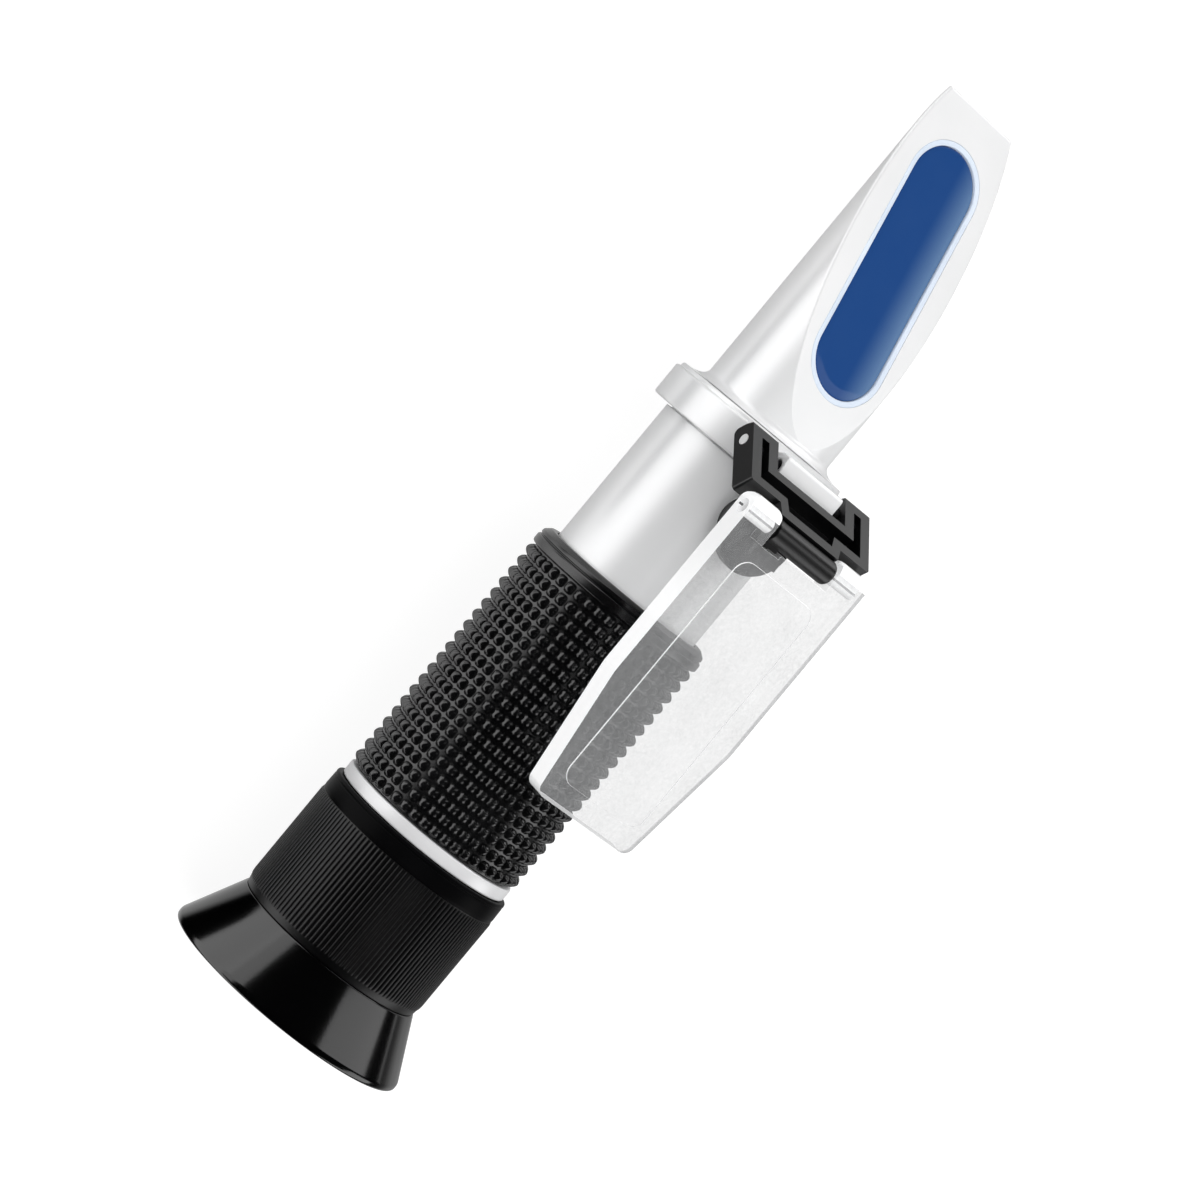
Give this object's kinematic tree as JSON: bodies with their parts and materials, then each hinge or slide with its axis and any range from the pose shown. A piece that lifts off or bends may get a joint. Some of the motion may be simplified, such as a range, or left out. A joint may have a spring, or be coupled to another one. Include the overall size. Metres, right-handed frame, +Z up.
{
  "type": "antifreeze refractometer",
  "caption": "Handheld refractometer with flared rubber eyecup, fluted focus ring, studded grip, round metal tube, sloping blue prism and a folding clear daylight plate.",
  "frame": {"origin": "centre of the bounding box's bottom face: under the middle of the instrument, level with the lowest point of the eyecup's rim", "axes": "+X along the optical axis from the eyecup towards the prism, +Z up, out of the prism's face and towards the folded-back plate, +Y across the instrument along both hinge pins"},
  "size_m": [0.1604, 0.0398, 0.0483],
  "materials": {
    "eyecup_rubber": "glossy black rubber",
    "ring_black": "satin black, finely fluted",
    "grip_rubber": "black rubber with rows of studs",
    "cap_rubber": "soft black rubber",
    "satin_metal": "satin plated",
    "bright_metal": "bright turned",
    "bracket_black": "moulded, semi-gloss",
    "clear_plastic": "clear moulded plastic, lightly hazed",
    "blue_glass": "blue optical glass, polished",
    "seal": "pale blue sealing compound",
    "brass": "turned",
    "black_metal": "black anodised",
    "lens_glass": "coated lens glass"
  },
  "bodies": {
    "tube": {"main_tube": "satin_metal", "guide_pin": "brass", "trim_ring": "bright_metal", "grip_sleeve": "grip_rubber", "collar": "satin_metal", "prism_head": "satin_metal", "prism_seal": "seal", "prism": "blue_glass", "hinge_lug": "satin_metal", "lug_rivet_left": "bright_metal", "lug_rivet_right": "bright_metal", "bracket_pin": "bright_metal", "calibration_bush": "brass", "compensator_strip": "brass", "compensator_block": "black_metal", "compensator_screw": "bright_metal", "reticle_holder": "black_metal", "reticle_disc": "lens_glass", "reticle_lock_ring": "black_metal", "light_stop": "black_metal", "objective_cell": "black_metal", "objective_lens": "lens_glass"},
    "focus": {"eyecup": "eyecup_rubber", "focus_ring": "ring_black"},
    "eyepiece": {"eyepiece_cell": "black_metal", "eyepiece_retainer": "black_metal", "eye_lens": "lens_glass", "lens_spacer": "black_metal", "field_lens": "lens_glass", "rear_retainer": "black_metal"},
    "bracket": {"hinge_bracket": "bracket_black", "plate_pin": "bright_metal"},
    "plate": {"daylight_plate": "clear_plastic"},
    "calibration": {"calibration_screw": "bright_metal"},
    "cap": {"screw_cap": "cap_rubber"}
  },
  "joints": [
    {"name": "bracket_swing", "type": "hinge", "parent": "tube", "child": "bracket", "pos_m": [0.02325, 0, 0.03714], "axis": [0, 1, 0], "range_deg": [0, 156.2]},
    {"name": "plate_pivot", "type": "hinge", "parent": "bracket", "child": "plate", "pos_m": [0.01639, 0, 0.04624], "axis": [0, 1, 0], "range_deg": [0, 43.1]},
    {"name": "focus_turn", "type": "hinge", "parent": "tube", "child": "focus", "pos_m": [-0.06, 0, 0.01994], "axis": [1, 0, 0], "range_deg": [0, 270]},
    {"name": "eyepiece_travel", "type": "slide", "parent": "tube", "child": "eyepiece", "axis": [-1, 0, 0], "range_m": [0, 0.003]},
    {"name": "calibration_turn", "type": "hinge", "parent": "tube", "child": "calibration", "pos_m": [0.0141, 0, 0.033], "axis": [0, 0, 1], "range_deg": [-180, 180]},
    {"name": "cap_lift", "type": "slide", "parent": "tube", "child": "cap", "axis": [0, 0, 1], "range_m": [0, 0.001]}
  ],
  "couplings": [
    {"joint": "eyepiece_travel", "follows": "focus_turn", "m_per_rad": 0.0006363}
  ]
}
